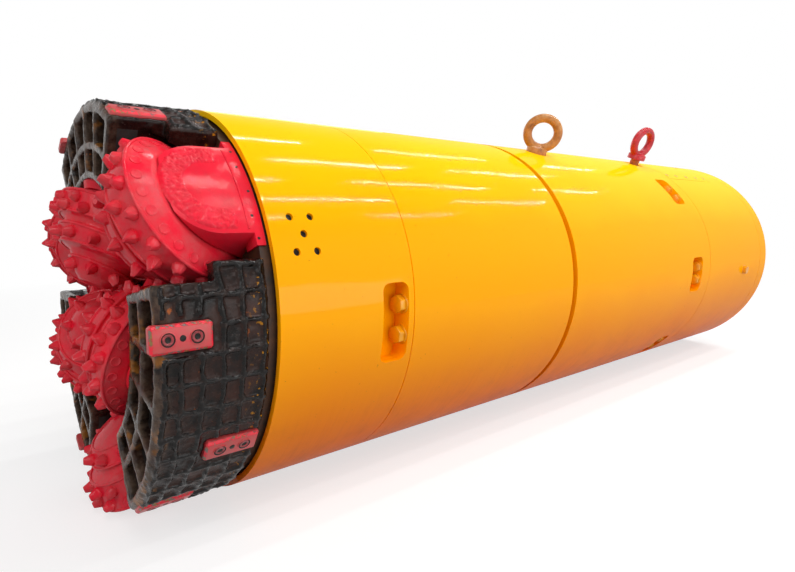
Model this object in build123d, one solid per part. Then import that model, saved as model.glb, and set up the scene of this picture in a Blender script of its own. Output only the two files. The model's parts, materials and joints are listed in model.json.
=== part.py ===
from build123d import *
import math
import os

os.makedirs("parts", exist_ok=True)

# Pipe-jacking microtunnelling machine with a six-cone rock cutterhead.
# Everything is drawn on the bore axis: local Z points forward out of the cutting face, local X is the
# side seen first and local Y is up. Z is 0 at the shield's front rim. STAND sets the machine on the
# ground with its length along +X.

# Shield cans, from the front rim to the tail
SHIELD_R = 380.0
WALL = 20.0
FRONT_CAN_L = 281.0
STEERING_CAN_L = 533.0
GROOVE = 20.0
MACHINE_CAN_L = 822.0
TAIL_CAN_L = 491.0
TAIL_RING_L = 66.0
SEAM_W = 2.0
SEAM_DEPTH = 2.0
RIM_WALL = 10.0
RIM_DEPTH = 45.0

# Bolted seams: a thick joint ring in the can, with pockets for the bolt heads
JOINT_RING_WALL = 60.0
STEERING_RING_L = 40.0
POCKET_DEPTH = 40.0
POCKET_CORNER = 16.0
POCKET_PHASE = -3.0
FRONT_POCKETS = 4
FRONT_POCKET_L = 61.0
FRONT_POCKET_W = 146.0
FRONT_POCKET_WEB = 13.0
FRONT_RING_MARGIN = 17.0
REAR_POCKETS = 8
REAR_POCKET_L = 76.0
REAR_POCKET_W = 112.0
REAR_POCKET_WEB = 64.0
REAR_RING_MARGIN = 16.0
FRONT_BOLT_PITCH = 58.0
REAR_BOLT_PITCH = 42.0
BOLT_AF = 30.0
BOLT_HEAD = 16.0
BOLT_SINK = 20.0

# Plugged holes in the skin
PLUG_R = 6.5
PLUG_DEPTH = 6.0
PLUG_FROM_RIM = 61.0
PLUG_ANGLE = 22.2
PLUG_STEP = 19.5
PLUG_STEP_ANGLE = 4.5
TAIL_PLUG_FROM_END = 231.0
TAIL_PLUG_ANGLE = -4.5

# Articulation
RUN_GAP = 0.3
SEAL_RING_L = 72.0
SEAL_RING_WALL = 22.0

# Drive
BULKHEAD_T = 30.0
DRIVE_R = 0.42 * SHIELD_R
DRIVE_L = 430.0
SHAFT_R = 0.25 * SHIELD_R
SHAFT_END_GAP = 4.0

# Cutterhead plate and arms: the head goes with the shield, so its sizes are shares of the radius
HEAD_FOLD = 3
HEAD_GAP = 6.0
PLATE_T = 40.0
PLATE_FACE = 15.0
WINDOW_HUB = 33.0
WINDOW_RIM = 64.0
WINDOW_ANGLE = 44.0
ARM_ANGLE = -23.0
ARM_SET = 8.0
ARM_DEPTH = 0.347 * SHIELD_R
ARM_FACE = 0.4895 * SHIELD_R
ARM_STEP = 0.2553 * SHIELD_R
ARM_BEVEL = 9.0
ARM_FRONT_SPAN = 71.0
ARM_REAR_SPAN = 80.0
LATTICE_CELLS = 5
LATTICE_RIB = 13.0
LATTICE_DEPTH = 42.0
LATTICE_CROWN = 12.0

# Gauge blocks: angle from the arm's middle and share of the arm's reach at the rear end
BLOCK_PLACES = ((24.0, 0.57), (-7.0, 0.086), (-31.0, 0.484))
BLOCK_SET = 1.0
BLOCK_L = 0.484 * ARM_FACE
BLOCK_W = 0.108 * SHIELD_R
BLOCK_SINK = 8.0
BLOCK_CHAMFER = 4.0

# Roller cones and their legs
GAUGE_ANGLE = 37.0
GAUGE_TILT = 33.0
GAUGE_CONE_R = 0.34 * SHIELD_R
GAUGE_HEEL_R = 0.8 * SHIELD_R
GAUGE_HEEL_Z = 0.229 * SHIELD_R
CENTRE_TILT = 30.0
CENTRE_CONE_R = 0.3158 * SHIELD_R
CENTRE_HEEL_R = 0.425 * SHIELD_R
CENTRE_HEEL_Z = 0.3053 * SHIELD_R
JOURNAL_R = 0.1105 * SHIELD_R
JOURNAL_L = 0.184 * SHIELD_R
JOURNAL_ROOT = 10.0
JOURNAL_END_GAP = 2.0
CONE_BACK_GAP = 3.0
CONE_CLEAR = 7.0
CONE_FLATS = 32
INSERT_R = 0.033 * SHIELD_R
INSERT_TIP_R = 0.0118 * SHIELD_R
INSERT_OUT = 0.0474 * SHIELD_R
INSERT_SINK = 0.0158 * SHIELD_R
LEG_SET = 12.0
LEG_W = 0.4526 * SHIELD_R
LEG_TIP = 0.4053 * SHIELD_R
COLLAR_SPAN = 33.5
COLLAR_FACE = 19.0
COLLAR_BACK = 3.0
COLLAR_DEPTH = 50.0
CENTRE_LEG_W = 0.3263 * SHIELD_R
CENTRE_LEG_TIP = 0.4842 * SHIELD_R

# Cone outlines as shares of the heel's radius: distance from the journal axis, and along it from the heel.
# A row of inserts is given by its share of the way along a land, the land's first point, the number of
# inserts and the stagger.
GAUGE_OUTLINE = (
    (0.735, -0.155), (1.0, 0.0), (0.894, 0.395), (0.751, 0.441), (0.712, 0.519), (0.743, 0.557),
    (0.596, 0.759), (0.464, 0.805), (0.279, 0.875), (0.155, 0.906),
)
GAUGE_ROWS = ((0.25, 1, 16, 0.0), (0.72, 1, 16, 0.5), (0.45, 5, 12, 0.0))
CENTRE_OUTLINE = (
    (0.733, -0.15), (1.0, 0.0), (0.908, 0.308), (0.808, 0.35), (0.779, 0.425), (0.829, 0.467),
    (0.704, 0.70), (0.538, 0.75), (0.479, 0.825), (0.488, 0.858), (0.321, 1.038), (0.2, 1.133),
)
CENTRE_ROWS = ((0.34, 1, 15, 0.0), (0.78, 1, 15, 0.5), (0.5, 5, 12, 0.0), (0.5, 9, 7, 0.0))

# Lifting eyes
EYE_ANGLE = 69.3
EYE_RING_R = 42.0
EYE_BAR_R = 12.5
EYE_FLATS = 28
EYE_BAR_FLATS = 8
EYE_RISE = 59.0
EYE_COLLAR_R = 29.0
EYE_COLLAR_T = 18.0
EYE_SHANK_R = 15.0
EYE_SEAT = 2.0
EYE_SEAT_MARGIN = 2.0
EYE_1_FROM_GROOVE = 167.0
EYE_1_TURN = -52.0
EYE_2_FROM_SEAM = 61.0
EYE_2_TURN = -6.0
EYE_2_OUT = 20.0

# Hatch in the tail can
HATCH_FROM_SEAM = 12.0
HATCH_L = 354.0
HATCH_SPAN = 75.0
HATCH_T = 10.0
HATCH_GAP = 2.0
HATCH_LEDGE = 25.0

# Rear bulkhead with slurry stubs, and the power pack in the invert
BULKHEAD_SET = 150.0
REAR_BULKHEAD_T = 20.0
PIPE_R = 57.0
PIPE_WALL = 7.0
PIPE_SIDE = 125.0
PIPE_DROP = 120.0
PIPE_STUB = 80.0
PIPE_IN = 260.0
STUB_COLLAR_R = 68.0
STUB_COLLAR_L = 26.0
TARGET_R = 62.0
TARGET_RISE = 125.0
PACK_L = 440.0
PACK_W = 320.0
PACK_H = 190.0
PACK_FROM_GROOVE = 180.0

# Stations along the axis, forward positive
SEAM_1 = -FRONT_CAN_L
GROOVE_FRONT = SEAM_1 - STEERING_CAN_L
GROOVE_REAR = GROOVE_FRONT - GROOVE
JOINT_Z = GROOVE_FRONT - GROOVE / 2
SEAM_2 = GROOVE_REAR - MACHINE_CAN_L
TAIL_SEAM = SEAM_2 - TAIL_CAN_L
TAIL_END = TAIL_SEAM - TAIL_RING_L
FRONT_POCKET_Z = SEAM_1 + FRONT_POCKET_WEB
FRONT_RING_Z = FRONT_POCKET_Z + FRONT_POCKET_L + FRONT_RING_MARGIN
REAR_POCKET_Z = SEAM_2 + REAR_POCKET_WEB
REAR_RING_Z = REAR_POCKET_Z + REAR_POCKET_L + REAR_RING_MARGIN
PLATE_BACK = PLATE_FACE - PLATE_T
BACK_Z = TAIL_END + BULKHEAD_SET

# Radii that follow the shield
BORE_R = SHIELD_R - WALL
RIM_BORE_R = SHIELD_R - RIM_WALL
RING_BORE_R = SHIELD_R - JOINT_RING_WALL
PLATE_R = RIM_BORE_R - HEAD_GAP
ARM_R = SHIELD_R - ARM_SET
BLOCK_TOP_R = SHIELD_R - BLOCK_SET
LEG_R = SHIELD_R - LEG_SET
ARM_IN_R = ARM_R - ARM_DEPTH
COLLAR_IN_R = SHIELD_R - COLLAR_DEPTH
WINDOW_IN_R = SHAFT_R + WINDOW_HUB
WINDOW_OUT_R = PLATE_R - WINDOW_RIM
LAND_R = BORE_R - RUN_GAP


def sized(shares, heel_r):
    """Cone outline in mm from its shares of the heel's radius."""
    return [(r * heel_r, s * heel_r) for r, s in shares]


gauge_outline = sized(GAUGE_OUTLINE, GAUGE_CONE_R)
centre_outline = sized(CENTRE_OUTLINE, CENTRE_CONE_R)


def row_point(outline, row, out):
    """Radius and distance of a row's point that stands a given height off its land, and the land's lean."""
    share, land = row[0], row[1]
    (r0, s0), (r1, s1) = outline[land], outline[land + 1]
    lean = math.atan2(r0 - r1, s1 - s0)
    r = r0 + share * (r1 - r0) + out * math.cos(lean)
    s = s0 + share * (s1 - s0) + out * math.sin(lean)
    return r, s, lean


def reach(row):
    """How far forward the tips of a centre cone's row come."""
    r, s, _ = row_point(centre_outline, row, INSERT_OUT)
    tilt = math.radians(CENTRE_TILT)
    return CENTRE_HEEL_Z + s * math.sin(tilt) + r * math.cos(tilt)


NOSE_Z = max(reach(row) for row in CENTRE_ROWS)
MID_Z = (NOSE_Z + TAIL_END) / 2
STAND = Plane(origin=(MID_Z, 0, SHIELD_R), x_dir=(0, -1, 0), z_dir=(-1, 0, 0))


def save(name, shape):
    """Write one node, set on the ground."""
    export_step(STAND.location * shape, f"parts/{name}.step")


def fold(count):
    """Angles of a pattern round the axis."""
    return [i * 360.0 / count for i in range(count)]


def disc(radius, z0, z1):
    """Cylinder on the axis between two stations."""
    return Pos(0, 0, min(z0, z1)) * extrude(Circle(radius), abs(z1 - z0))


def tube(outer, inner, z0, z1):
    """Ring on the axis between two stations."""
    ring = Circle(outer) - Circle(inner)
    return Pos(0, 0, min(z0, z1)) * extrude(ring, abs(z1 - z0))


def turned(points, arc=360.0):
    """Solid of revolution about local Z from radius and height pairs, centred on local X."""
    face = make_face(Polyline(*[(r, 0, z) for r, z in points], close=True))
    return Rot(0, 0, -arc / 2) * revolve(face, Axis.Z, arc)


def flatted(points, sides, closed=False):
    """Body round local Z kept to a number of flats: capped at both ends, or a closed ring."""
    rings = []
    for r, z in points:
        angles = [2 * math.pi * (i + 0.5) / sides for i in range(sides)]
        rings.append([(r * math.cos(a), r * math.sin(a), z) for a in angles])
    bands = list(zip(rings, rings[1:]))
    faces = []
    if closed:
        bands.append((rings[-1], rings[0]))
    else:
        faces += [Face(Wire.make_polygon(ring)) for ring in (rings[0], rings[-1])]
    for low, high in bands:
        for i in range(sides):
            j = (i + 1) % sides
            faces.append(Face(Wire.make_polygon([low[i], low[j], high[j], high[i]])))
    return Solid(Shell(faces))


def on_axis(points):
    """Outline closed by the axis itself."""
    return [(0, points[0][1])] + list(points) + [(0, points[-1][1])]


def sector(outer, inner, angle, span, z0, z1):
    """Slice of a ring, centred on an angle."""
    slice_ = turned([(inner, z0), (outer, z0), (outer, z1), (inner, z1)], span)
    return Rot(0, 0, angle) * slice_


def around(angle, radius, z):
    """Plane that faces outward on a cylinder; its X runs forward and its Y round the cylinder."""
    a = math.radians(angle)
    out = (math.cos(a), math.sin(a), 0)
    return Plane(origin=(radius * out[0], radius * out[1], z), x_dir=(0, 0, 1), z_dir=out)


def journal(angle, heel_r, heel_z, tilt):
    """Plane at a cone's heel; its Z runs along the journal, inward and forward."""
    a = math.radians(angle)
    t = math.radians(tilt)
    inward = (-math.cos(t) * math.cos(a), -math.cos(t) * math.sin(a), math.sin(t))
    return Plane(
        origin=(heel_r * math.cos(a), heel_r * math.sin(a), heel_z),
        x_dir=(-math.sin(a), math.cos(a), 0),
        z_dir=inward,
    )


# Shield cans
def pocket(angle, z_rear, length, width):
    """Cutter for one bolt pocket."""
    place = around(angle, SHIELD_R - POCKET_DEPTH, z_rear + length / 2)
    return place.location * extrude(RectangleRounded(length, width, POCKET_CORNER), POCKET_DEPTH * 2)


def pocket_angles(count):
    return [POCKET_PHASE + a for a in fold(count)]


def can(front, rear):
    """Plain can."""
    return tube(SHIELD_R, BORE_R, front, rear)


def seam(z):
    """Cutter for the fine groove in front of which two cans meet."""
    return tube(SHIELD_R + WALL, SHIELD_R - SEAM_DEPTH, z, z - SEAM_W)


def plug(angle, z):
    """Cutter for one small plugged hole."""
    return around(angle, SHIELD_R - PLUG_DEPTH, z).location * extrude(Circle(PLUG_R), PLUG_DEPTH * 2)


def bolt_heads(count, pitch, z):
    """Hex heads, two to a pocket, that bear on the pocket's rear wall."""
    head = extrude(RegularPolygon(BOLT_AF / math.sqrt(3), 6), BOLT_HEAD)
    r = SHIELD_R - BOLT_SINK
    half = math.degrees(pitch / 2 / r)
    turns = [a + side for a in pocket_angles(count) for side in (-half, half)]
    return Compound(children=[Rot(0, 0, turn) * (Pos(r, 0, z) * head) for turn in turns])


front_can = can(0, SEAM_1) - disc(RIM_BORE_R, 0, -RIM_DEPTH)
front_can += tube(BORE_R, RING_BORE_R, FRONT_RING_Z, SEAM_1)
for angle in pocket_angles(FRONT_POCKETS):
    front_can -= pocket(angle, FRONT_POCKET_Z, FRONT_POCKET_L, FRONT_POCKET_W)
front_can -= plug(PLUG_ANGLE, -PLUG_FROM_RIM)
for along in (-PLUG_STEP, PLUG_STEP):
    for turn in (-PLUG_STEP_ANGLE, PLUG_STEP_ANGLE):
        front_can -= plug(PLUG_ANGLE + turn, -PLUG_FROM_RIM + along)
save("front_can", front_can)
save("front_seam_bolts", bolt_heads(FRONT_POCKETS, FRONT_BOLT_PITCH, FRONT_POCKET_Z))

steering_can = can(SEAM_1, GROOVE_FRONT) - seam(SEAM_1)
steering_can += tube(BORE_R, RING_BORE_R, SEAM_1, SEAM_1 - STEERING_RING_L)
save("steering_can", steering_can)

machine_can = can(GROOVE_REAR, SEAM_2)
machine_can += tube(BORE_R, RING_BORE_R, REAR_RING_Z, SEAM_2)
for angle in pocket_angles(REAR_POCKETS):
    machine_can -= pocket(angle, REAR_POCKET_Z, REAR_POCKET_L, REAR_POCKET_W)
save("rear_seam_bolts", bolt_heads(REAR_POCKETS, REAR_BOLT_PITCH, REAR_POCKET_Z))

tail_can = can(SEAM_2, TAIL_SEAM) - seam(SEAM_2)
tail_can -= plug(TAIL_PLUG_ANGLE, TAIL_END + TAIL_PLUG_FROM_END)
save("tail_ring", can(TAIL_SEAM, TAIL_END) - seam(TAIL_SEAM))

# Articulation ring: a spherical band that both cans' bores slide on
ball = Pos(0, 0, JOINT_Z) * Sphere(LAND_R)
band = tube(SHIELD_R, BORE_R - SEAL_RING_WALL, JOINT_Z - SEAL_RING_L / 2, JOINT_Z + SEAL_RING_L / 2)
save("articulation_ring", ball & band)

# Drive bulkhead, seated on the joint ring, and the main drive behind it
drive_bulkhead = tube(LAND_R, SHAFT_R + RUN_GAP, FRONT_RING_Z + BULKHEAD_T, FRONT_RING_Z)
save("drive_bulkhead", drive_bulkhead)
save("main_drive", disc(DRIVE_R, FRONT_RING_Z, FRONT_RING_Z - DRIVE_L))


# Roller cones
def insert_stud():
    """Six-sided tapered insert standing on local Z."""
    height = INSERT_SINK + INSERT_OUT
    taper = math.degrees(math.atan((INSERT_R - INSERT_TIP_R) * math.cos(math.pi / 6) / height))
    return Pos(0, 0, -INSERT_SINK) * extrude(RegularPolygon(INSERT_R, 6), height, taper=taper)


def insert_places(outline, rows):
    """Planes of all inserts on a cone, square to their lands."""
    places = []
    for row in rows:
        r, s, lean = row_point(outline, row, 0)
        count, stagger = row[2], row[3]
        for i in range(count):
            a = 2 * math.pi * (i + stagger) / count
            out = (math.cos(lean) * math.cos(a), math.cos(lean) * math.sin(a), math.sin(lean))
            places.append(Plane(origin=(r * math.cos(a), r * math.sin(a), s), z_dir=out))
    return places


def roller_cone(outline, rows):
    """Cone on its own journal axis, bored for the journal, with its rows of inserts."""
    stud = insert_stud()
    studs = [place.location * stud for place in insert_places(outline, rows)]
    body = flatted(outline, CONE_FLATS).fuse(*studs)
    return body - disc(JOURNAL_R + RUN_GAP, outline[0][1], JOURNAL_L + JOURNAL_END_GAP)


def cone_room(outline, rows):
    """Space that a turning cone sweeps, its inserts and clearance included."""
    back = outline[0][1] - CONE_BACK_GAP
    points = [(outline[0][0] + CONE_CLEAR, back), (outline[1][0] + CONE_CLEAR, back / 3)]
    grow = INSERT_OUT + CONE_CLEAR
    for row in rows:
        r, s, lean = row_point(outline, row, grow)
        for side in (-INSERT_R, INSERT_R):
            points.append((r - side * math.sin(lean), s + side * math.cos(lean)))
    points.sort(key=lambda point: point[1])
    return turned(on_axis(points + [(outline[-1][0] + grow, outline[-1][1] + grow)]))


turns = fold(HEAD_FOLD)
gauge_places = [journal(GAUGE_ANGLE + a, GAUGE_HEEL_R, GAUGE_HEEL_Z, GAUGE_TILT) for a in turns]
centre_places = [journal(ARM_ANGLE + a, CENTRE_HEEL_R, CENTRE_HEEL_Z, CENTRE_TILT) for a in turns]
gauge_cone = roller_cone(gauge_outline, GAUGE_ROWS)
centre_cone = roller_cone(centre_outline, CENTRE_ROWS)
gauge_room = cone_room(gauge_outline, GAUGE_ROWS)
centre_room = cone_room(centre_outline, CENTRE_ROWS)
rooms = [place.location * gauge_room for place in gauge_places]
rooms += [place.location * centre_room for place in centre_places]
for i in range(HEAD_FOLD):
    save(f"gauge_cone_{i + 1}", gauge_places[i].location * gauge_cone)
    save(f"centre_cone_{i + 1}", centre_places[i].location * centre_cone)

# Head plate with muck windows, room for the cones, and its shaft
plate = disc(PLATE_R, PLATE_FACE, PLATE_BACK)
for a in turns:
    plate -= sector(WINDOW_OUT_R, WINDOW_IN_R, GAUGE_ANGLE + a, WINDOW_ANGLE, PLATE_FACE, PLATE_BACK)
    plate -= sector(SHIELD_R, COLLAR_IN_R, GAUGE_ANGLE + a, COLLAR_SPAN, COLLAR_BACK, PLATE_FACE)
plate = plate.cut(*rooms)
plate += disc(SHAFT_R, PLATE_BACK, FRONT_RING_Z + SHAFT_END_GAP)
save("head_plate", plate)


# Arms with a lattice of open cells in the front face
def lattice_cell(angle, inner, outer, span):
    """Cutter for one cell between the ribs of an arm's face."""
    return sector(outer, inner, angle, span, ARM_FACE - LATTICE_DEPTH, ARM_FACE + 1)


def lattice(angle):
    """Cutters for both rows of cells on an arm."""
    crown = ARM_R - LATTICE_CROWN - ARM_BEVEL / 2
    middle = (ARM_IN_R + crown) / 2
    rows = ((ARM_IN_R + LATTICE_RIB, middle - LATTICE_RIB / 2), (middle + LATTICE_RIB / 2, crown))
    cells = []
    pitch = (ARM_FRONT_SPAN - 2 * math.degrees(LATTICE_RIB / ARM_R)) / LATTICE_CELLS
    for inner, outer in rows:
        rib = math.degrees(LATTICE_RIB / ((inner + outer) / 2))
        for i in range(LATTICE_CELLS):
            turn = (i - (LATTICE_CELLS - 1) / 2) * pitch
            cells.append(lattice_cell(angle + turn, inner, outer, pitch - rib))
    return cells


def arm_blank(angle):
    """Bevelled front part and wider rear part of an arm."""
    front = turned([
        (ARM_IN_R, ARM_STEP), (ARM_R, ARM_STEP), (ARM_R, ARM_FACE - ARM_BEVEL),
        (ARM_R - ARM_BEVEL, ARM_FACE), (ARM_IN_R, ARM_FACE),
    ], ARM_FRONT_SPAN)
    rear = sector(ARM_R, ARM_IN_R, 0, ARM_REAR_SPAN, PLATE_FACE, ARM_STEP)
    return Rot(0, 0, angle) * (front + rear)


def gauge_block():
    """Chamfered block on local XY."""
    height = BLOCK_TOP_R - ARM_R + BLOCK_SINK
    block = extrude(Rectangle(BLOCK_L, BLOCK_W), height)
    top = block.faces().sort_by(Axis.Z)[-1]
    return chamfer(block.edges().filter_by(Axis.Z) + top.edges(), BLOCK_CHAMFER)


block = gauge_block()
block_seat = extrude(Rectangle(BLOCK_L, BLOCK_W), 2 * BLOCK_SINK)
for i, a in enumerate(turns):
    angle = ARM_ANGLE + a
    seats = [around(angle + turn, ARM_R - BLOCK_SINK, share * ARM_FACE + BLOCK_L / 2)
             for turn, share in BLOCK_PLACES]
    arm = arm_blank(angle).cut(*rooms)
    arm = arm.cut(*lattice(angle), *[seat.location * block_seat for seat in seats])
    save(f"cutter_arm_{i + 1}", arm)
    save(f"gauge_blocks_{i + 1}", Compound(children=[seat.location * block for seat in seats]))


# Legs: a round-tipped slab cut square to the journal, with the journal on its inner face
def leg_slab(angle, outer, width, tip):
    shoulder = tip - width / 2
    outline = Pos((PLATE_FACE + shoulder) / 2, 0) * Rectangle(shoulder - PLATE_FACE, width)
    outline += Pos(shoulder, 0) * Circle(width / 2)
    outline &= Pos(PLATE_FACE + tip, 0) * Rectangle(2 * tip, width)
    slab = around(angle, 0, 0).location * extrude(outline, 2 * outer)
    return slab & disc(outer, PLATE_FACE, tip)


def outboard(place, s, size):
    """Half space on the leg's side of a plane square to the journal."""
    return place.location * (Pos(0, 0, s - size / 2) * Box(2 * size, 2 * size, size))


def leg_with_journal(slab, place, outline):
    face = outline[0][1] - CONE_BACK_GAP
    leg = slab & outboard(place, face, 2 * SHIELD_R)
    return leg + place.location * disc(JOURNAL_R, face - JOURNAL_ROOT, JOURNAL_L)


for i, a in enumerate(turns):
    slab = leg_slab(GAUGE_ANGLE + a, LEG_R, LEG_W, LEG_TIP)
    leg = leg_with_journal(slab, gauge_places[i], gauge_outline)
    collar = sector(LEG_R, COLLAR_IN_R, GAUGE_ANGLE + a, COLLAR_SPAN, COLLAR_BACK, COLLAR_FACE)
    save(f"gauge_leg_{i + 1}", leg + (collar - rooms[i]))
    slab = leg_slab(ARM_ANGLE + a, ARM_IN_R - RUN_GAP, CENTRE_LEG_W, CENTRE_LEG_TIP)
    save(f"centre_leg_{i + 1}", leg_with_journal(slab, centre_places[i], centre_outline))


# Lifting eyes
def eye_bolt(shank):
    """Forged eye on its collar and shank; the ring lies in local XZ."""
    bar = []
    for i in range(EYE_BAR_FLATS):
        a = 2 * math.pi * (i + 0.5) / EYE_BAR_FLATS
        bar.append((EYE_RING_R + EYE_BAR_R * math.cos(a), EYE_BAR_R * math.sin(a)))
    ring = Pos(0, 0, EYE_RISE) * (Rot(90, 0, 0) * flatted(bar, EYE_FLATS, closed=True))
    neck = turned(on_axis([
        (EYE_COLLAR_R, 0), (EYE_COLLAR_R, EYE_COLLAR_T), (EYE_SHANK_R, EYE_RISE - EYE_RING_R),
    ]))
    return ring + neck + disc(EYE_SHANK_R, 0, -shank)


def eye_seat(z, lift):
    """Plane on the shield where an eye stands."""
    return around(EYE_ANGLE, SHIELD_R - EYE_SEAT + lift, z)


eye_places = (
    (GROOVE_REAR - EYE_1_FROM_GROOVE, EYE_1_TURN, 0.0),
    (SEAM_2 + EYE_2_FROM_SEAM, EYE_2_TURN, EYE_2_OUT),
)
seat_cut = disc(EYE_COLLAR_R + EYE_SEAT_MARGIN, 0, 2 * WALL) + disc(EYE_SHANK_R + RUN_GAP, 0, -2 * WALL)
for i, (z, turn, out) in enumerate(eye_places):
    machine_can -= eye_seat(z, 0).location * seat_cut
    eye = Rot(0, 0, turn) * eye_bolt(out + WALL - EYE_SEAT)
    save(f"eye_bolt_{i + 1}", eye_seat(z, out).location * eye)
save("machine_can", machine_can)

# Hatch on its ledge
hatch_front = SEAM_2 - HATCH_FROM_SEAM
hatch_rear = hatch_front - HATCH_L
ledge_span = HATCH_SPAN - 2 * math.degrees(HATCH_LEDGE / SHIELD_R)
hatch_span = HATCH_SPAN - 2 * math.degrees(HATCH_GAP / SHIELD_R)
ledge_r = SHIELD_R - HATCH_T
tail_can -= sector(SHIELD_R + WALL, ledge_r, 90, HATCH_SPAN, hatch_front, hatch_rear)
tail_can -= sector(SHIELD_R, RING_BORE_R, 90, ledge_span, hatch_front - HATCH_LEDGE, hatch_rear + HATCH_LEDGE)
save("tail_can", tail_can)
hatch = sector(SHIELD_R, ledge_r, 90, hatch_span, hatch_front - HATCH_GAP, hatch_rear + HATCH_GAP)
save("tail_hatch", hatch)

# Rear bulkhead with feed and discharge stubs and the laser target's window
rear_bulkhead = disc(LAND_R, BACK_Z, BACK_Z + REAR_BULKHEAD_T)
window = Pos(0, TARGET_RISE, BACK_Z) * extrude(Circle(TARGET_R), REAR_BULKHEAD_T)
sleeve = disc(PIPE_R + RUN_GAP, BACK_Z, BACK_Z + REAR_BULKHEAD_T)
stub = tube(PIPE_R, PIPE_R - PIPE_WALL, BACK_Z - PIPE_STUB, BACK_Z + PIPE_IN)
stub += tube(STUB_COLLAR_R, PIPE_R, BACK_Z - PIPE_STUB, BACK_Z - PIPE_STUB + STUB_COLLAR_L)
feed = Pos(PIPE_SIDE, -PIPE_DROP, 0)
discharge = Pos(-PIPE_SIDE, -PIPE_DROP, 0)
save("rear_bulkhead", rear_bulkhead.cut(window, feed * sleeve, discharge * sleeve))
save("feed_pipe", feed * stub)
save("discharge_pipe", discharge * stub)

# Power pack lying in the invert
pack_front = GROOVE_REAR - PACK_FROM_GROOVE
pack = disc(LAND_R, pack_front, pack_front - PACK_L)
tray = Pos(0, -LAND_R + PACK_H / 2, pack_front - PACK_L / 2) * Box(PACK_W, PACK_H, PACK_L)
save("power_pack", pack & tray)
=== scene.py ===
import json
import math

import bmesh
import bpy
from bpy.props import FloatProperty, FloatVectorProperty, IntProperty, PointerProperty
from mathutils import Matrix, Vector, noise


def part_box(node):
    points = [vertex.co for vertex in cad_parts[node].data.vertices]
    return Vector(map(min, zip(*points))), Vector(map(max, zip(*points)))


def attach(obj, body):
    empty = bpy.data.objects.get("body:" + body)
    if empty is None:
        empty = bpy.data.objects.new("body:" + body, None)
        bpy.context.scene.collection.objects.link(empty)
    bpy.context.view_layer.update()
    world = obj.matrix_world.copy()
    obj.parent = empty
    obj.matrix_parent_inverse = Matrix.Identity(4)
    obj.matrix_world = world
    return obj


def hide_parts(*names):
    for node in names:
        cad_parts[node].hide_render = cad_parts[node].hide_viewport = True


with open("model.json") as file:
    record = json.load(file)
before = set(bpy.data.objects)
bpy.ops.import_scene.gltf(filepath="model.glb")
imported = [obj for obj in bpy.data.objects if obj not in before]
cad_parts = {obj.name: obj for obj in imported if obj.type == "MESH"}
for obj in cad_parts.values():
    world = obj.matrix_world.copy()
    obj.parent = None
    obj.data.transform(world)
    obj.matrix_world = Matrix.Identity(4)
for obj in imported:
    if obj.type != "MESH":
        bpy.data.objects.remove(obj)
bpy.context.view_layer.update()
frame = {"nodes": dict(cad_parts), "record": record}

bl_info = {
    "name": "Pipe-jacking tunnel boring machine",
    "version": (1, 0, 0),
    "blender": (4, 5, 0),
    "location": "View3D > Sidebar > Tunnel",
    "description": "Dresses a shield with a six-cone rock cutterhead",
    "category": "Object",
}

RIM_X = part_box("front_can")[0].x
TAIL_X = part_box("tail_ring")[1].x
SHIELD_R = (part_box("front_can")[1].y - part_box("front_can")[0].y) / 2
AXIS_Z = (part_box("front_can")[1].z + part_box("front_can")[0].z) / 2
MM = 0.001
PER_M = 1000.0  # a pattern's scale is this over its size in mm

# Local X is the side seen first, local Y is up and local Z runs forward from the shield's front rim.
STAND = Matrix(((0, 0, -1, RIM_X), (-1, 0, 0, 0), (0, 1, 0, AXIS_Z), (0, 0, 0, 1)))

# Cone outlines as shares of the heel's radius: distance from the journal axis, and along it from the heel.
# A row of inserts is the share along a land, the land's first point, the number of inserts and the stagger.
GAUGE_OUTLINE = (
    (0.735, -0.155), (1.0, 0.0), (0.894, 0.395), (0.751, 0.441), (0.712, 0.519), (0.743, 0.557),
    (0.596, 0.759), (0.464, 0.805), (0.279, 0.875), (0.155, 0.906),
)
GAUGE_ROWS = ((0.25, 1, 16, 0), (0.72, 1, 16, 0.5), (0.45, 5, 12, 0))
CENTRE_OUTLINE = (
    (0.733, -0.15), (1.0, 0.0), (0.908, 0.308), (0.808, 0.35), (0.779, 0.425), (0.829, 0.467),
    (0.704, 0.70), (0.538, 0.75), (0.479, 0.825), (0.488, 0.858), (0.321, 1.038), (0.2, 1.133),
)
CENTRE_ROWS = ((0.34, 1, 15, 0), (0.78, 1, 15, 0.5), (0.5, 5, 12, 0), (0.5, 9, 7, 0))
GAUGE_RIDGES = (1, 2, 5, 6)  # points of the outline that carry a ridge
CENTRE_RIDGES = (1, 2, 5, 6, 9)
GAUGE_CONE_R = 129.2
CENTRE_CONE_R = 120.0
CONE_STEPS = 96
# Where a cone's heel is: angle round the head, distance from its axis, distance from the rim, tilt of the journal
GAUGE_PLACE = (37, 304, 87, 33)
CENTRE_PLACE = (-23, 161.5, 116, 30)

ARM_ANGLE = -23
ARM_R = 372
ARM_SPAN = 79
# Hoops of weld bead on an arm: distance from the rim, and span in degrees
HOOPS = ((24, 79), (58, 79), (90, 79), (122, 70), (152, 70), (176, 70))
BAR_COUNT = 13
BAR_START = 16
# A bead's section as shares of its half width and its height; its foot is sunk in the arm.
BEAD_SECTION = ((-1.1, -1.6), (-1.1, 0), (-0.7, 0.7), (0, 1), (0.7, 0.7), (1.1, 0), (1.1, -1.6))
# Blocks on an arm: angle from the arm's middle, and distance of the rear end from the rim
BLOCK_PLACES = ((24, 106), (-7, 16), (-31, 90))
BLOCK_TOP_R = 379
BLOCK_L = 90

LEG_R = 368
COLLAR_SEAM_Z = 27.0
# Pits in a leg's collar, each a near-black cap of painted shade: angle from the leg's middle, and distance from the rim
COLLAR_PITS = ((-15, 14), (-9, 17), (-2, 11), (6, 15), (12, 12))
EYE_ANGLE = 69.3


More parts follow.
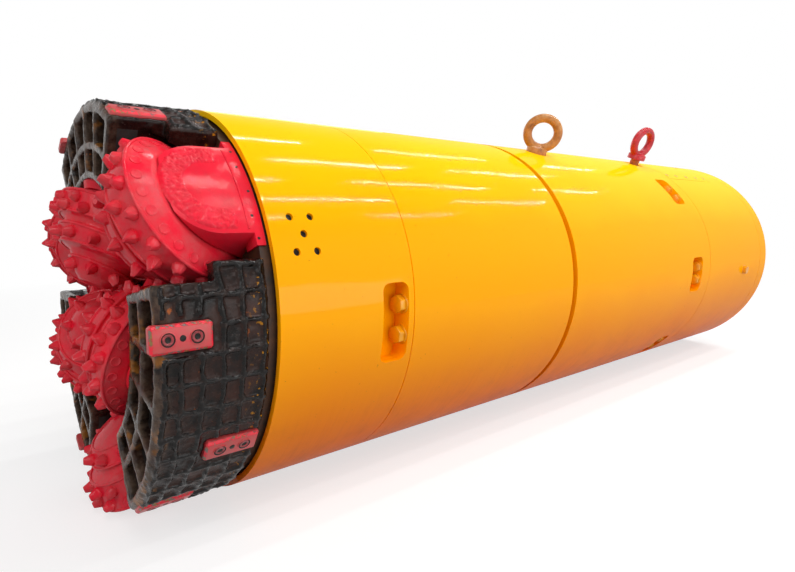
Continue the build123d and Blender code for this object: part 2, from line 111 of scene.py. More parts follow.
def linear(hex_colour):
    """sRGB hex as linear RGBA."""
    channels = [int(hex_colour[i:i + 2], 16) / 255 for i in (0, 2, 4)]
    return [c / 12.92 if c <= 0.04045 else ((c + 0.055) / 1.055) ** 2.4 for c in channels] + [1.0]


class PaintColours(bpy.types.PropertyGroup):
    """Colours that a user would change."""
    shield: FloatVectorProperty(
        name="Shield", description="Enamel on the shield's flanks", subtype="COLOR", size=4, min=0, max=1,
        default=linear("FFA800"))
    # A lighter yellow along the top: painted light.
    shield_top_painted_light: FloatVectorProperty(
        name="Shield top", description="Enamel along the shield's top", subtype="COLOR", size=4, min=0, max=1,
        default=linear("FFC606"))
    # A darker orange near the ground: painted shade.
    shield_belly_painted_shade: FloatVectorProperty(
        name="Shield belly", description="Dusty enamel near the ground", subtype="COLOR", size=4, min=0, max=1,
        default=linear("F06404"))
    cutters: FloatVectorProperty(
        name="Cutters", description="Enamel on cones, legs and blocks", subtype="COLOR", size=4, min=0, max=1,
        default=linear("E61C34"))
    arms: FloatVectorProperty(
        name="Arms", description="Paint on the arms", subtype="COLOR", size=4, min=0, max=1,
        default=linear("0F0C0B"))


class CutterSizes(bpy.types.PropertyGroup):
    """Sizes of the cutters' small detail."""
    insert_radius: FloatProperty(
        name="Insert radius", description="Radius of a carbide insert's foot", unit="LENGTH", default=11.2 * MM)
    insert_height: FloatProperty(
        name="Insert height", description="Height of an insert off its land", unit="LENGTH", default=17.0 * MM)
    ridge: FloatProperty(
        name="Ridge", description="Half width of the ridges between the rows", unit="LENGTH", default=2.8 * MM)
    flush_count: IntProperty(
        name="Flush inserts", description="Flush inserts round a gauge cone's heel", default=24, min=6)
    bead_width: FloatProperty(
        name="Bead width", description="Width of a weld bead on an arm", unit="LENGTH", default=7.5 * MM)
    bead_height: FloatProperty(
        name="Bead height", description="Height of a weld bead on an arm", unit="LENGTH", default=6.6 * MM)


class StageSizes(bpy.types.PropertyGroup):
    """Floor and lamps."""
    floor: FloatProperty(name="Floor", description="Side of the floor", unit="LENGTH", default=80.0)
    lamp: FloatProperty(name="Key lamp", description="Power of the key lamp", unit="POWER", default=52.0)


# Materials
def add(tree, kind, inputs=None, stops=(), out=0, **settings):
    """Adds a node with its settings and links, and gives an output; an input is a value or another node's output."""
    node = tree.nodes.new(kind)
    for name, value in settings.items():
        setattr(node, name, value)
    for name, value in (inputs or {}).items():
        if isinstance(value, bpy.types.NodeSocket):
            tree.links.new(value, node.inputs[name])
        else:
            node.inputs[name].default_value = value
    if stops:
        elements = node.color_ramp.elements
        while len(elements) < len(stops):
            elements.new(0.5)
        for element, (at, colour) in zip(elements, stops):
            element.position = at
            element.color = colour
    return node.outputs[out] if node.outputs else None


def new_finish(name, **sockets):
    """Material with its shader, and the object coordinates that its patterns read."""
    material = bpy.data.materials.new(name)
    material.use_nodes = True
    tree = material.node_tree
    shader = tree.nodes["Principled BSDF"]
    for socket, value in sockets.items():
        shader.inputs[socket.replace("_", " ")].default_value = value
    return material, tree, shader, add(tree, "ShaderNodeTexCoord", out="Object")


def stained(tree, where, paint, colour, size_mm, levels, detail=2.0, rough=0.5, most=1.0, only=None):
    """Lays a colour over the paint in clouds of a size, from one level to another; gives the paint and the clouds."""
    clouds = add(tree, "ShaderNodeTexNoise", {
        "Vector": where, "Scale": PER_M / size_mm, "Detail": detail, "Roughness": rough})
    share = add(tree, "ShaderNodeMapRange", {
        "Value": clouds, "From Min": levels[0], "From Max": levels[1], "To Max": most})
    if only is not None:
        share = add(tree, "ShaderNodeMath", {0: share, 1: only}, operation="MULTIPLY")
    return add(tree, "ShaderNodeMix", {0: share, 6: paint, 7: colour}, out=2, data_type="RGBA"), clouds


def wire(tree, shader, **outputs):
    """Leads outputs to the shader's sockets; a relief shows in the gloss too."""
    for socket, value in outputs.items():
        tree.links.new(value, shader.inputs[socket.replace("_", " ")])
    if "Normal" in outputs:
        tree.links.new(outputs["Normal"], shader.inputs["Coat Normal"])


def shield_enamel():
    """Brushed alkyd enamel on rolled plate: high gloss, long ripples, lap marks and dust towards the belly, with
    painted light along the top and painted shade towards the belly.
    """
    colours = bpy.context.scene.tunnel_colours
    material, tree, shader, where = new_finish(
        "gloss_yellow_enamel", Specular_IOR_Level=0.0, Coat_Weight=0.2, Coat_Roughness=0.08, Coat_IOR=1.5)
    # Inside the shield no dust settles and no painted light or shade by height is laid, so it keeps the colour of the
    # middle.
    across = add(tree, "ShaderNodeVectorMath", {0: where, 1: (0, 1, 1)}, operation="MULTIPLY")
    radius = add(tree, "ShaderNodeVectorMath", {0: across, 1: (0, 0, AXIS_Z)}, out="Value", operation="DISTANCE")
    outside = add(tree, "ShaderNodeMapRange", {"Value": radius, "From Min": 0.362, "From Max": 0.366})
    height = add(tree, "ShaderNodeSeparateXYZ", {"Vector": where}, out="Z")
    height = add(tree, "ShaderNodeMapRange", {"Value": outside, "To Min": 0.40, "To Max": height})
    # Colour by height: the lighter yellow along the top is painted light, the darker orange towards the belly is
    # painted shade, and a slow drift varies both.
    drift = add(tree, "ShaderNodeTexNoise", {"Vector": where, "Scale": PER_M / 260, "Detail": 2.0})
    level = add(tree, "ShaderNodeMath", {0: drift, 1: 0.10, 2: height}, operation="MULTIPLY_ADD")
    paint = add(tree, "ShaderNodeValToRGB", {"Fac": level}, (
        (0.08, colours.shield_belly_painted_shade), (0.42, colours.shield), (0.58, colours.shield), (0.78, colours.shield_top_painted_light)))
    low = add(tree, "ShaderNodeMapRange", {"Value": height, "From Min": 0.26, "From Max": 0.02})
    # Brush laps run round the shield about 5 mm apart; they show only where dust has settled on them.
    drawn = add(tree, "ShaderNodeMapping", {"Vector": where, "Scale": (1, 1 / 60, 1 / 60)})
    paint, laps = stained(tree, drawn, paint, linear("D8640C"), 5, (0.48, 0.70), 3.0, 0.6, 0.45, low)
    # Dust towards the belly, then a few specks of grit
    paint, _ = stained(tree, where, paint, linear("B85C1C"), 60, (0.46, 0.80), 6.0, 0.6, 0.55, low)
    paint, _ = stained(tree, where, paint, linear("B06A10"), 7, (0.735, 0.76), most=0.5)
    cloud = add(tree, "ShaderNodeTexNoise", {"Vector": where, "Scale": PER_M / 80, "Detail": 4.0})
    haze = add(tree, "ShaderNodeMapRange", {"Value": cloud, "From Min": 0.05, "From Max": 5.0})
    haze = add(tree, "ShaderNodeMath", {0: low, 1: 0.12, 2: haze}, operation="MULTIPLY_ADD")
    # The plate's ripples are about 120 mm across and somewhat longer along the shield.
    drawn = add(tree, "ShaderNodeMapping", {"Vector": where, "Scale": (1 / 1.6, 1, 1)})
    ripple = add(tree, "ShaderNodeTexNoise", {"Vector": drawn, "Scale": PER_M / 120, "Detail": 2.0})
    relief = add(tree, "ShaderNodeMath", {0: laps, 1: 0.006, 2: ripple}, operation="MULTIPLY_ADD")
    relief = add(tree, "ShaderNodeBump", {"Height": relief, "Distance": 1.1 * MM})
    wire(tree, shader, Base_Color=paint, Roughness=haze, Normal=relief)
    return material


def plain_enamel(name, colour, shade, rough, cloud_mm=25.0):
    """Sprayed enamel: an even colour that drifts slightly, with a fine orange peel."""
    material, tree, shader, where = new_finish(name, IOR=1.5, Roughness=rough)
    paint, _ = stained(tree, where, colour, shade, cloud_mm, (0.3, 0.75), 4.0, 0.6)
    peel = add(tree, "ShaderNodeTexNoise", {"Vector": where, "Scale": PER_M / 6, "Detail": 2.0})
    relief = add(tree, "ShaderNodeBump", {"Height": peel, "Distance": 0.15 * MM})
    wire(tree, shader, Base_Color=paint, Normal=relief)
    return material


def cutter_enamel(name, bloom):
    """Thick red enamel over castings: wet gloss, deeper where it pooled, with a bloom of dust."""
    colour = bpy.context.scene.tunnel_colours.cutters
    material, tree, shader, where = new_finish(
        name, Specular_IOR_Level=0.0, Coat_Weight=0.3, Coat_Roughness=0.13, Coat_IOR=1.5)
    paint, cloud = stained(tree, where, colour, linear("CC162E"), 60, (0.40, 0.75), 4.0, 0.6)
    paint, _ = stained(tree, where, paint, linear("C8706C"), 30, (0.35, 0.70), 5.0, 0.65, bloom)
    haze = add(tree, "ShaderNodeMapRange", {"Value": cloud, "From Min": 0.2, "From Max": 2.8})
    sag = add(tree, "ShaderNodeTexNoise", {"Vector": where, "Scale": PER_M / 11, "Detail": 3.0, "Roughness": 0.55})
    relief = add(tree, "ShaderNodeBump", {"Height": sag, "Distance": 0.7 * MM})
    wire(tree, shader, Base_Color=paint, Roughness=haze, Normal=relief)
    return material


def chipped_enamel():
    """The same red where tools and rock have knocked it: grey steel and ochre primer show in the chips."""
    colour = bpy.context.scene.tunnel_colours.cutters
    material, tree, shader, where = new_finish("chipped_red_enamel", IOR=1.5, Roughness=0.45)
    bare, _ = stained(tree, where, linear("6B6660"), linear("8C6B3A"), 14, (0.45, 0.55))
    paint, chips = stained(tree, where, colour, bare, 9, (0.50, 0.56), 5.0, 0.7)
    step = add(tree, "ShaderNodeMapRange", {"Value": chips, "From Min": 0.56, "From Max": 0.50})
    relief = add(tree, "ShaderNodeBump", {"Height": step, "Distance": 0.5 * MM})
    wire(tree, shader, Base_Color=paint, Normal=relief)
    return material


def arm_paint():
    """Thin black paint over hard-facing: rubbed brown, grey on the front ribs, rust spots, overspray at the rim."""
    colour = bpy.context.scene.tunnel_colours.arms
    material, tree, shader, where = new_finish("worn_black_paint", IOR=1.45, Specular_IOR_Level=0.2)
    along = add(tree, "ShaderNodeSeparateXYZ", {"Vector": where}, out="X")
    front = add(tree, "ShaderNodeMapRange", {"Value": along, "From Min": RIM_X - 0.162, "From Max": RIM_X - 0.177})
    rim = add(tree, "ShaderNodeMapRange", {"Value": along, "From Min": RIM_X - 0.05, "From Max": RIM_X - 0.018})
    paint, wear = stained(tree, where, colour, linear("38211A"), 55, (0.38, 0.66), 5.0, 0.65)
    # Grey scuffs, then ribs rubbed brown with ochre patches, rust spots and flecks of overspray
    paint, _ = stained(tree, where, paint, linear("6A5E56"), 8, (0.62, 0.74), 5.0, 0.7, 0.6)
    paint, _ = stained(tree, where, paint, linear("806A58"), 20, (0.36, 0.66), 5.0, 0.65, 0.42, front)
    paint, _ = stained(tree, where, paint, linear("A4661E"), 50, (0.58, 0.66), 3.0, 0.6, 0.6, front)
    paint, _ = stained(tree, where, paint, linear("9A4E18"), 34, (0.645, 0.69), 6.0, 0.7)
    paint, _ = stained(tree, where, paint, linear("D08A14"), 9, (0.60, 0.64), 4.0, 0.6, 1.0, rim)
    haze = add(tree, "ShaderNodeMapRange", {"Value": wear, "From Min": 0.15, "From Max": 1.5})
    pores = add(tree, "ShaderNodeTexNoise", {"Vector": where, "Scale": PER_M / 6, "Detail": 4.0, "Roughness": 0.6})
    relief = add(tree, "ShaderNodeBump", {"Height": pores, "Distance": 0.8 * MM})
    wire(tree, shader, Base_Color=paint, Roughness=haze, Normal=relief)
    return material


def bead_paint():
    """The same black where it lies thick on the weld beads: wet gloss that catches the light in short glints."""
    colour = bpy.context.scene.tunnel_colours.arms
    material, tree, shader, where = new_finish("wet_black_paint", IOR=1.5, Specular_IOR_Level=0.2)
    paint, cloud = stained(tree, where, colour, linear("2C1C16"), 16, (0.5, 0.75), 4.0, 0.6)
    haze = add(tree, "ShaderNodeMapRange", {"Value": cloud, "From Min": 0.3, "From Max": 1.7})
    pores = add(tree, "ShaderNodeTexNoise", {"Vector": where, "Scale": PER_M / 5, "Detail": 3.0, "Roughness": 0.6})
    relief = add(tree, "ShaderNodeBump", {"Height": pores, "Distance": 1.0 * MM})
    wire(tree, shader, Base_Color=paint, Roughness=haze, Normal=relief)
    return material


def forged_steel():
    """Drop-forged steel with a thin even skin of rust: warm tan, satin, finely pitted."""
    material, tree, shader, where = new_finish("rust_filmed_forging", Roughness=0.42, Specular_IOR_Level=0.4)
    rust = add(tree, "ShaderNodeTexNoise", {"Vector": where, "Scale": PER_M / 26, "Detail": 5.0, "Roughness": 0.6})
    skin = add(tree, "ShaderNodeValToRGB", {"Fac": rust}, (
        (0.30, linear("8A5426")), (0.50, linear("B97838")), (0.66, linear("C48C50")), (0.80, linear("94602E"))))
    pits = add(tree, "ShaderNodeTexNoise", {"Vector": where, "Scale": PER_M / 4, "Detail": 4.0, "Roughness": 0.6})
    relief = add(tree, "ShaderNodeBump", {"Height": pits, "Distance": 0.25 * MM})
    wire(tree, shader, Base_Color=skin, Normal=relief)
    return material


def mill_steel():
    """Mill-finish pipe: bare drawn steel with faint lengthwise lines."""
    material, tree, shader, where = new_finish("drawn_steel_pipe", Metallic=1.0)
    drawn = add(tree, "ShaderNodeMapping", {"Vector": where, "Scale": (1 / 60, 1, 1)})
    lines = add(tree, "ShaderNodeTexNoise", {
        "Vector": drawn, "Scale": PER_M / 3, "Detail": 3.0, "Roughness": 0.6})
    skin = add(tree, "ShaderNodeValToRGB", {"Fac": lines}, ((0.3, linear("7C7A76")), (0.7, linear("A8A6A1"))))
    haze = add(tree, "ShaderNodeMapRange", {"Value": lines, "From Min": -0.6, "From Max": 1.9})
    wire(tree, shader, Base_Color=skin, Roughness=haze)
    return material


def dark_steel_and_shade():
    """Black oxide on screws and plugs, dark and dull; the same near black is painted shade in the sockets and grooves
    of the blocks' screws, on the blocks' holes and in the pits of the legs' collars.
    """
    material, tree, shader, where = new_finish("black_oxide_and_painted_shade", Metallic=0.6, Roughness=0.5)
    tone = add(tree, "ShaderNodeTexNoise", {"Vector": where, "Scale": PER_M / 6, "Detail": 3.0})
    skin = add(tree, "ShaderNodeValToRGB", {"Fac": tone}, ((0.3, linear("0E0D0C")), (0.7, linear("2A2724"))))
    wire(tree, shader, Base_Color=skin)
    return material


FINISHES = {
    "shield_enamel": shield_enamel,
    # Satin orange that dirt has browned, in the groove and under the rear eye
    "seal_orange": lambda: plain_enamel("dusty_orange_enamel", linear("C86A10"), linear("8E4A14"), 0.5),
    # The shield's yellow, thinner and duller over threads and edges
    "bolt_enamel": lambda: plain_enamel("yellow_bolt_enamel", linear("F5A800"), linear("D98A08"), 0.3),
    # Flat greys that mirror little, on walls and housings inside
    "bulkhead_grey": lambda: plain_enamel("satin_grey_primer", linear("9A9C9C"), linear("7E8080"), 0.45),
    "drive_grey": lambda: plain_enamel("satin_machine_grey", linear("6A6E70"), linear("565A5C"), 0.45),
    "pipe_steel": mill_steel,
    "eye_tan": forged_steel,
    # Deep red with soft highlights round the bar
    "eye_red": lambda: plain_enamel("red_eye_enamel", linear("C8202C"), linear("98141E"), 0.35, 12.0),
    # Near black, rubbed rusty where muck has passed
    "plate_dark": lambda: plain_enamel("worn_plate_paint", linear("1C120C"), linear("4E2C10"), 0.55),
    "arm_black": arm_paint,
    "bead_black": bead_paint,
    # Red over dark steel in small patches
    "screw_red": lambda: plain_enamel("painted_over_screw", linear("B4343C"), linear("4A1A18"), 0.35, 6.0),
    # Dull and near black: painted shade with caked dirt in the cells between the ribs, so that they look deep
    "cell_dirt_and_shade": lambda: plain_enamel("caked_dirt_and_painted_shade", linear("0C0908"), linear("241812"), 0.8, 15.0),
    "cutter_red": lambda: cutter_enamel("gloss_red_enamel", 0.08),
    "cone_red": lambda: cutter_enamel("dust_bloomed_red_enamel", 0.34),
    "chipped_red": chipped_enamel,
    # Red greyed by handling
    "block_red": lambda: plain_enamel("dusty_red_enamel", linear("CE2C38"), linear("B0504A"), 0.4, 18.0),
    "dark_steel_and_shade": dark_steel_and_shade,
}
MADE = {}


def finish(name):
    """The material for a slot, made once."""
    if name not in MADE:
        MADE[name] = FINISHES[name]()
    return MADE[name]


# Shapes
def turn(angle):
    """Turn about local Z, in degrees."""
    return Matrix.Rotation(math.radians(angle), 4, "Z")


def frame_of(origin, x_dir, z_dir):
    """Place with its local X and Z along two square directions."""
    x, z = Vector(x_dir), Vector(z_dir)
    y = z.cross(x)
    return Matrix((
        (x.x, y.x, z.x, origin[0]), (x.y, y.y, z.y, origin[1]), (x.z, y.z, z.z, origin[2]), (0, 0, 0, 1)))


def around(angle, radius, z):
    """Place on a cylinder, in mm from the rim: local Z out, local X forward."""
    a = math.radians(angle)
    out = (math.cos(a), math.sin(a), 0)
    return frame_of((radius * MM * out[0], radius * MM * out[1], z * MM), (0, 0, 1), out)


def journal(angle, heel_r, heel_z, tilt):
    """Place at a cone's heel: local Z along the journal, inward and forward."""
    a, t = math.radians(angle), math.radians(tilt)
    inward = (-math.cos(t) * math.cos(a), -math.cos(t) * math.sin(a), math.sin(t))
    origin = (heel_r * MM * math.cos(a), heel_r * MM * math.sin(a), heel_z * MM)
    return frame_of(origin, (-math.sin(a), math.cos(a), 0), inward)


def outline(bm, points):
    """Open chain of edges in local XZ, from radius and height pairs in mm."""
    verts = [bm.verts.new((r * MM, 0, z * MM)) for r, z in points]
    edges = [bm.edges.new(pair) for pair in zip(verts, verts[1:])]
    return verts + edges


def spun(points, steps):
    """Surface of revolution about local Z."""
    bm = bmesh.new()
    bmesh.ops.spin(bm, geom=outline(bm, points), cent=(0, 0, 0), axis=(0, 0, 1), angle=2 * math.pi, steps=steps,
                   use_merge=True)
    bmesh.ops.remove_doubles(bm, verts=bm.verts, dist=1e-6)
    bmesh.ops.recalc_face_normals(bm, faces=bm.faces)
    return bm


def bar(radius, z, thick, sides, steps, span=360):
    """Round bar bent about local Z, in mm and degrees; its ends are closed where it isn't a ring."""
    bm = bmesh.new()
    bmesh.ops.create_circle(bm, segments=sides, radius=thick * MM, matrix=Matrix.Translation((radius * MM, 0, z * MM)) @
                            Matrix.Rotation(math.pi / 2, 4, "X"))
    bmesh.ops.spin(bm, geom=bm.verts[:] + bm.edges[:], cent=(0, 0, 0), axis=(0, 0, 1), angle=math.radians(span),
                   steps=steps, use_merge=span == 360)
    bmesh.ops.holes_fill(bm, edges=bm.edges)
    bmesh.ops.recalc_face_normals(bm, faces=bm.faces)
    return bm


def soften(bm, width_mm, angle, segments=2):
    """Rounds every edge that folds by more than an angle."""
    edges = [e for e in bm.edges if e.is_manifold and e.calc_face_angle() > math.radians(angle)]
    bmesh.ops.bevel(bm, geom=edges, offset=width_mm * MM, affect="EDGES", segments=segments, profile=0.5,
                    material=-1, clamp_overlap=True, loop_slide=True)


def stamp(target, source, places):
    """Copies a shape into another at each place."""
    mesh = bpy.data.meshes.new("stamp")
    source.to_mesh(mesh)
    for place in places:
        copy = mesh.copy()
        copy.transform(place)
        target.from_mesh(copy)
        bpy.data.meshes.remove(copy)
    bpy.data.meshes.remove(mesh)


def piece(name, bm, body, finishes, place=STAND, sharp=32.0, replaces=()):
    """Finished object with its place in its mesh, riding on a body."""
    bmesh.ops.transform(bm, matrix=place, verts=bm.verts)
    mesh = bpy.data.meshes.new(name)
    bm.to_mesh(mesh)
    bm.free()
    for polygon in mesh.polygons:
        polygon.use_smooth = True
    mesh.set_sharp_from_angle(angle=math.radians(sharp))
    for made in finishes:
        mesh.materials.append(finish(made))
    thing = bpy.data.objects.new(name, mesh)
    bpy.context.scene.collection.objects.link(thing)
    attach(thing, body)
    if replaces:
        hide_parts(*replaces)
    return thing


def node_copy(node):
    """A CAD node's shape as one merged mesh, in the machine's frame."""
    bm = bmesh.new()
    bm.from_mesh(frame["nodes"][node].data)
    bmesh.ops.remove_doubles(bm, verts=bm.verts, dist=2e-5)
    bmesh.ops.dissolve_limit(bm, angle_limit=math.radians(0.8), verts=bm.verts, edges=bm.edges)
    return bm


def land_point(points, row):
    """Point of a row on its land, and the land's lean."""
    share, land = row[0], row[1]
    (r0, s0), (r1, s1) = points[land], points[land + 1]
    return r0 + share * (r1 - r0), s0 + share * (s1 - s0), math.atan2(r0 - r1, s1 - s0)


def ring_places(r, s, lean, count, stagger):
    """Places round local Z, square to a land."""
    places = []
    for i in range(count):
        local = Matrix.Translation((r * MM, 0, s * MM)) @ Matrix.Rotation(math.pi / 2 - lean, 4, "Y")
        places.append(turn(360 * (i + stagger) / count) @ local)
    return places


def insert(radius, height, crest):
    """Carbide insert: a round foot that tapers to a crest, blunt where crest is 1 and a chisel below that."""
    bm = spun([(radius, -5), (radius, height * 0.2), (radius * 0.95, height * 0.3), (radius * 0.56, height * 0.92),
               (radius * 0.44, height), (0, height)], 10)
    for v in bm.verts:
        share = max(0.0, (v.co.z / MM - height * 0.3) / (height * 0.7))
        v.co.y *= 1 - (1 - crest) * min(1.0, share)
        v.co.x *= 1 + (1 - crest) * 0.25 * min(1.0, share)
    return bm


def eased(points, reach):
    """The same outline with each corner turned over a short run, as a casting's are."""
    line = [Vector(p) for p in points]
    soft = [line[0]]
    for before, corner, after in zip(line, line[1:], line[2:]):
        back, on = before - corner, after - corner
        start = corner + back.normalized() * min(reach, back.length * 0.45)
        end = corner + on.normalized() * min(reach, on.length * 0.45)
        soft += [start] + [start.lerp(corner, t).lerp(corner.lerp(end, t), t) for t in (0.25, 0.5, 0.75)] + [end]
    return [tuple(p) for p in soft + [line[-1]]]


def roller_cone(shares, heel_r, rows, ridges, flush):
    """Cone with rounded ridges, rows of inserts and a ring of flush ones on the heel."""
    sizes = bpy.context.scene.tunnel_cutters
    points = [(r * heel_r, s * heel_r) for r, s in shares]
    bm = spun(eased([(0, points[0][1])] + points + [(0, points[-1][1])], 3.0), CONE_STEPS)
    for r, s in [points[at] for at in ridges]:
        ridge = bar(r - 1, s, sizes.ridge / MM, 10, CONE_STEPS)
        stamp(bm, ridge, [Matrix.Identity(4)])
        ridge.free()
    r, h = sizes.insert_radius / MM, sizes.insert_height / MM
    blunt, chisel = insert(r * 0.96, h * 0.82, 0.85), insert(r, h, 0.38)
    for index, row in enumerate(rows):
        stamp(bm, chisel if index else blunt, ring_places(*land_point(points, row), row[2], row[3]))
    button = spun([(8.6, -2), (8.6, 0.7), (7.4, 1.3), (6.4, 0.9), (0, 0.9)], 16)
    heel = land_point(points, (0.60, 0))
    stamp(bm, button, ring_places(*heel, flush, 0.25))
    for part in (blunt, chisel, button):
        part.free()
    return bm


class TUNNEL_OT_roller_cones(bpy.types.Operator):
    """Six roller cones with carbide inserts"""
    bl_idname = "tunnel.roller_cones"
    bl_label = "Roller cones"

    def execute(self, context):
        flush = context.scene.tunnel_cutters.flush_count
        for kind, shares, heel_r, rows, ridges, spot in (
                ("gauge", GAUGE_OUTLINE, GAUGE_CONE_R, GAUGE_ROWS, GAUGE_RIDGES, GAUGE_PLACE),
                ("centre", CENTRE_OUTLINE, CENTRE_CONE_R, CENTRE_ROWS, CENTRE_RIDGES, CENTRE_PLACE)):
            for i in range(3):
                place = STAND @ journal(spot[0] + 120 * i, *spot[1:])
                cone = roller_cone(shares, heel_r, rows, ridges, flush)
                piece(f"{kind}_button_cone_{i + 1}", cone, f"{kind}_roller_{i + 1}", ["cone_red"],
                      place, replaces=[f"{kind}_cone_{i + 1}"])
        return {"FINISHED"}


def bead_loop(bm, points, angle):
    """Closed loop of edges through points, turned about the head's axis."""
    verts = [bm.verts.new(point) for point in points]
    edges = [bm.edges.new(pair) for pair in zip(verts, verts[1:] + verts[:1])]
    bmesh.ops.rotate(bm, cent=(0, 0, 0), matrix=turn(angle), verts=verts)
    return verts + edges


def bead_grid(angle):
    """Grid of beads on an arm's outer face: hoops round it and bars along it."""
    sizes = bpy.context.scene.tunnel_cutters
    half, high, face = sizes.bead_width / 2, sizes.bead_height, ARM_R * MM
    bm = bmesh.new()
    for z, span in HOOPS:
        loop = bead_loop(bm, [(face + high * h, 0, z * MM + half * w) for w, h in BEAD_SECTION], -span / 2)
        bmesh.ops.spin(bm, geom=loop, cent=(0, 0, 0), axis=(0, 0, 1), angle=math.radians(span), steps=int(span * 1.1))
    for i in range(BAR_COUNT):
        a = (i - (BAR_COUNT - 1) / 2) * ARM_SPAN / (BAR_COUNT - 1) * 0.985
        run = (180 if abs(a) < 35 else 96) - BAR_START  # the outermost bars end at the arm's shoulder
        loop = bead_loop(bm, [(face + high * h, half * w, BAR_START * MM) for w, h in BEAD_SECTION], a)
        steps = int(run / 6)
        bmesh.ops.spin(bm, geom=loop, cent=(0, 0, 0), axis=(0, 0, 1), angle=0, dvec=(0, 0, run * MM / steps),
                       steps=steps)
    # Weld metal wanders and lumps; under the gauge blocks it is ground off.
    for v in bm.verts:
        r = math.hypot(v.co.x, v.co.y)
        wander = noise.noise(v.co * 45 + Vector((angle, 0, 0)))
        lump = noise.noise(v.co * 160 + Vector((0, angle, 0)))
        here = math.degrees(math.atan2(v.co.y, v.co.x))
        under = any(abs(here - a) * math.pi / 180 * ARM_R < 27 and z - 6 < v.co.z / MM < z + BLOCK_L + 6
                    for a, z in BLOCK_PLACES)
        if r > face:
            grow = (face - 3 * MM) / r if under else 1 + (2.2 * lump + 1.2 * wander) * MM / r
            v.co.x *= grow
            v.co.y *= grow
        v.co.z += 4.2 * MM * wander
        v.co.xy = Matrix.Rotation(0.0105 * noise.noise(v.co * 30 + Vector((0, 0, 7 + angle))), 2) @ v.co.xy
    bmesh.ops.rotate(bm, cent=(0, 0, 0), matrix=turn(angle), verts=bm.verts)
    bmesh.ops.holes_fill(bm, edges=bm.edges)
    bmesh.ops.recalc_face_normals(bm, faces=bm.faces)
    return bm


def welded(bm, grit_mm, seed):
    """Melts overlapping shapes into one skin, as weld metal does, and roughens it."""
    mesh = bpy.data.meshes.new("weld")
    bm.to_mesh(mesh)
    bm.free()
    thing = bpy.data.objects.new("weld", mesh)
    bpy.context.scene.collection.objects.link(thing)
    remesh = thing.modifiers.new("skin", "REMESH")
    remesh.mode = "VOXEL"
    remesh.voxel_size = grit_mm * MM
    skin = bpy.data.meshes.new_from_object(thing.evaluated_get(bpy.context.evaluated_depsgraph_get()))
    bpy.data.objects.remove(thing)
    bpy.data.meshes.remove(mesh)
    out = bmesh.new()
    out.from_mesh(skin)
    bpy.data.meshes.remove(skin)
    bmesh.ops.smooth_vert(out, verts=out.verts, factor=0.5, use_axis_x=True, use_axis_y=True, use_axis_z=True)
    shift = Vector((seed, 0, 0))
    moves = []
    for v in out.verts:
        lump = 1.1 * noise.noise(v.co * 55 + shift) + 0.8 * noise.noise(v.co * 140 + shift)
        moves.append(v.normal * lump * MM)
    for v, move in zip(out.verts, moves):
        v.co += move
    return out


class TUNNEL_OT_cutter_arms(bpy.types.Operator):
    """Arms under a skin of weld metal, with a grid of beads"""
    bl_idname = "tunnel.cutter_arms"
    bl_label = "Cutter arms"

    def execute(self, context):
        lip_span = 69
        lip = bar(362.5, 178, 8.5, 12, int(lip_span * 0.9), lip_span)
        for i in range(3):
            angle = ARM_ANGLE + 120 * i
            bm = node_copy(f"cutter_arm_{i + 1}")
            face_x = min(v.co.x for v in bm.verts)
            stamp(bm, lip, [STAND @ turn(angle - lip_span / 2)])
            beads = bead_grid(angle)
            stamp(bm, beads, [STAND])
            beads.free()
            bm = welded(bm, 2.9, 10.0 * i)
            for face in bm.faces:
                middle = face.calc_center_median()
                r = math.hypot(middle.y, middle.z - AXIS_Z)
                # Faces in the cells take the near-black finish of painted shade and caked dirt, and faces high on the
                # beads the glossy black.
                cell = 0.014 < middle.x - face_x < 0.048 and 0.252 < r < 0.352
                face.material_index = 1 if cell else 2 if r > ARM_R * MM + 0.0024 else 0
            piece(f"welded_arm_{i + 1}", bm, "cutterhead", ["arm_black", "cell_dirt_and_shade", "bead_black"],
                  Matrix.Identity(4), sharp=180, replaces=[f"cutter_arm_{i + 1}"])
        lip.free()
        return {"FINISHED"}


class TUNNEL_OT_gauge_blocks(bpy.types.Operator):
    """Gauge blocks with chipped edges and socket screws"""
    bl_idname = "tunnel.gauge_blocks"
    bl_label = "Gauge blocks"

    def execute(self, context):
        screw = spun([(11.2, 0), (11.0, 1.1), (10.0, 1.3), (9.4, 0.2), (8.2, 0.2), (7.6, 1.1), (6.9, 1.4), (4.9, 1.4),
                      (4.5, 0.3), (0, 0.3)], 24)
        # The groove round each screw and its socket take the near-black finish as painted shade.
        for face in screw.faces:
            r = math.hypot(*face.calc_center_median().xy)
            face.material_index = 0 if r > 0.0097 else 3 if 0.0046 < r < 0.0082 else 2
        # A flat near-black disc in each block's middle is painted shade standing for a hole.
        hole_shade = spun([(4.6, 0), (4.4, 0.4), (0, 0.4)], 16)
        for face in hole_shade.faces:
            face.material_index = 2
        for i in range(3):
            bm = node_copy(f"gauge_blocks_{i + 1}")
            for face in bm.faces:
                middle = face.calc_center_median()
                out = Vector((0, middle.y, middle.z - AXIS_Z)).normalized()
                face.material_index = 1 if 0.3 < abs(face.normal.dot(out)) < 0.93 else 0
            soften(bm, 1.5, 40)
            for a, z in BLOCK_PLACES:
                top = STAND @ around(ARM_ANGLE + 120 * i + a, BLOCK_TOP_R, z + BLOCK_L / 2)
                stamp(bm, screw, [top @ Matrix.Translation((x * MM, 0, 0)) for x in (-20.5, 20.5)])
                stamp(bm, hole_shade, [top])
            piece(f"screwed_blocks_{i + 1}", bm, "cutterhead",
                  ["block_red", "chipped_red", "dark_steel_and_shade", "screw_red"], Matrix.Identity(4),
                  replaces=[f"gauge_blocks_{i + 1}"])
        screw.free()
        hole_shade.free()
        return {"FINISHED"}


